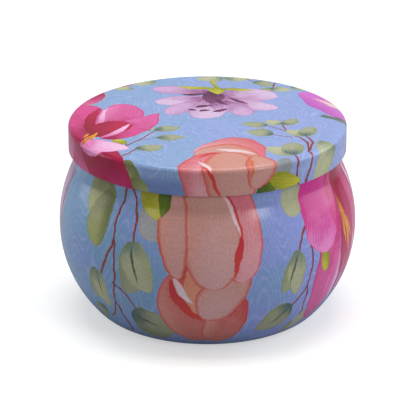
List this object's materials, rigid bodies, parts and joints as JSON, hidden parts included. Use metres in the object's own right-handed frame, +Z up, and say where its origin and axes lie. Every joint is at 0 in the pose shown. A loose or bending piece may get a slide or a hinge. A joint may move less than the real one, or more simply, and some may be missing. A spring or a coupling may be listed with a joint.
{
  "type": "round tin with slip lid",
  "caption": "Round pot-bellied tinplate container with a flat-topped slip lid, printed all over, for spices, tea or other dry goods.",
  "frame": {"origin": "middle of the standing ring, in the plane the tin stands on", "axes": "+Z up along the tin's axis; -Y faces the viewer, +X is to the viewer's right"},
  "size_m": [0.077, 0.077, 0.0512],
  "materials": {
    "body_print": "floral print on light blue under satin varnish",
    "lid_print": "floral print on light blue under satin varnish",
    "bare_tinplate": "bright bare tinplate with fine rolling grain"
  },
  "bodies": {
    "can": {"can_body": "body_print", "base_end": "bare_tinplate"},
    "lid": {"lid": "lid_print"}
  },
  "joints": [
    {"name": "lid_lift", "type": "slide", "parent": "can", "child": "lid", "axis": [0, 0, 1], "range_m": [0, 0.018]}
  ]
}
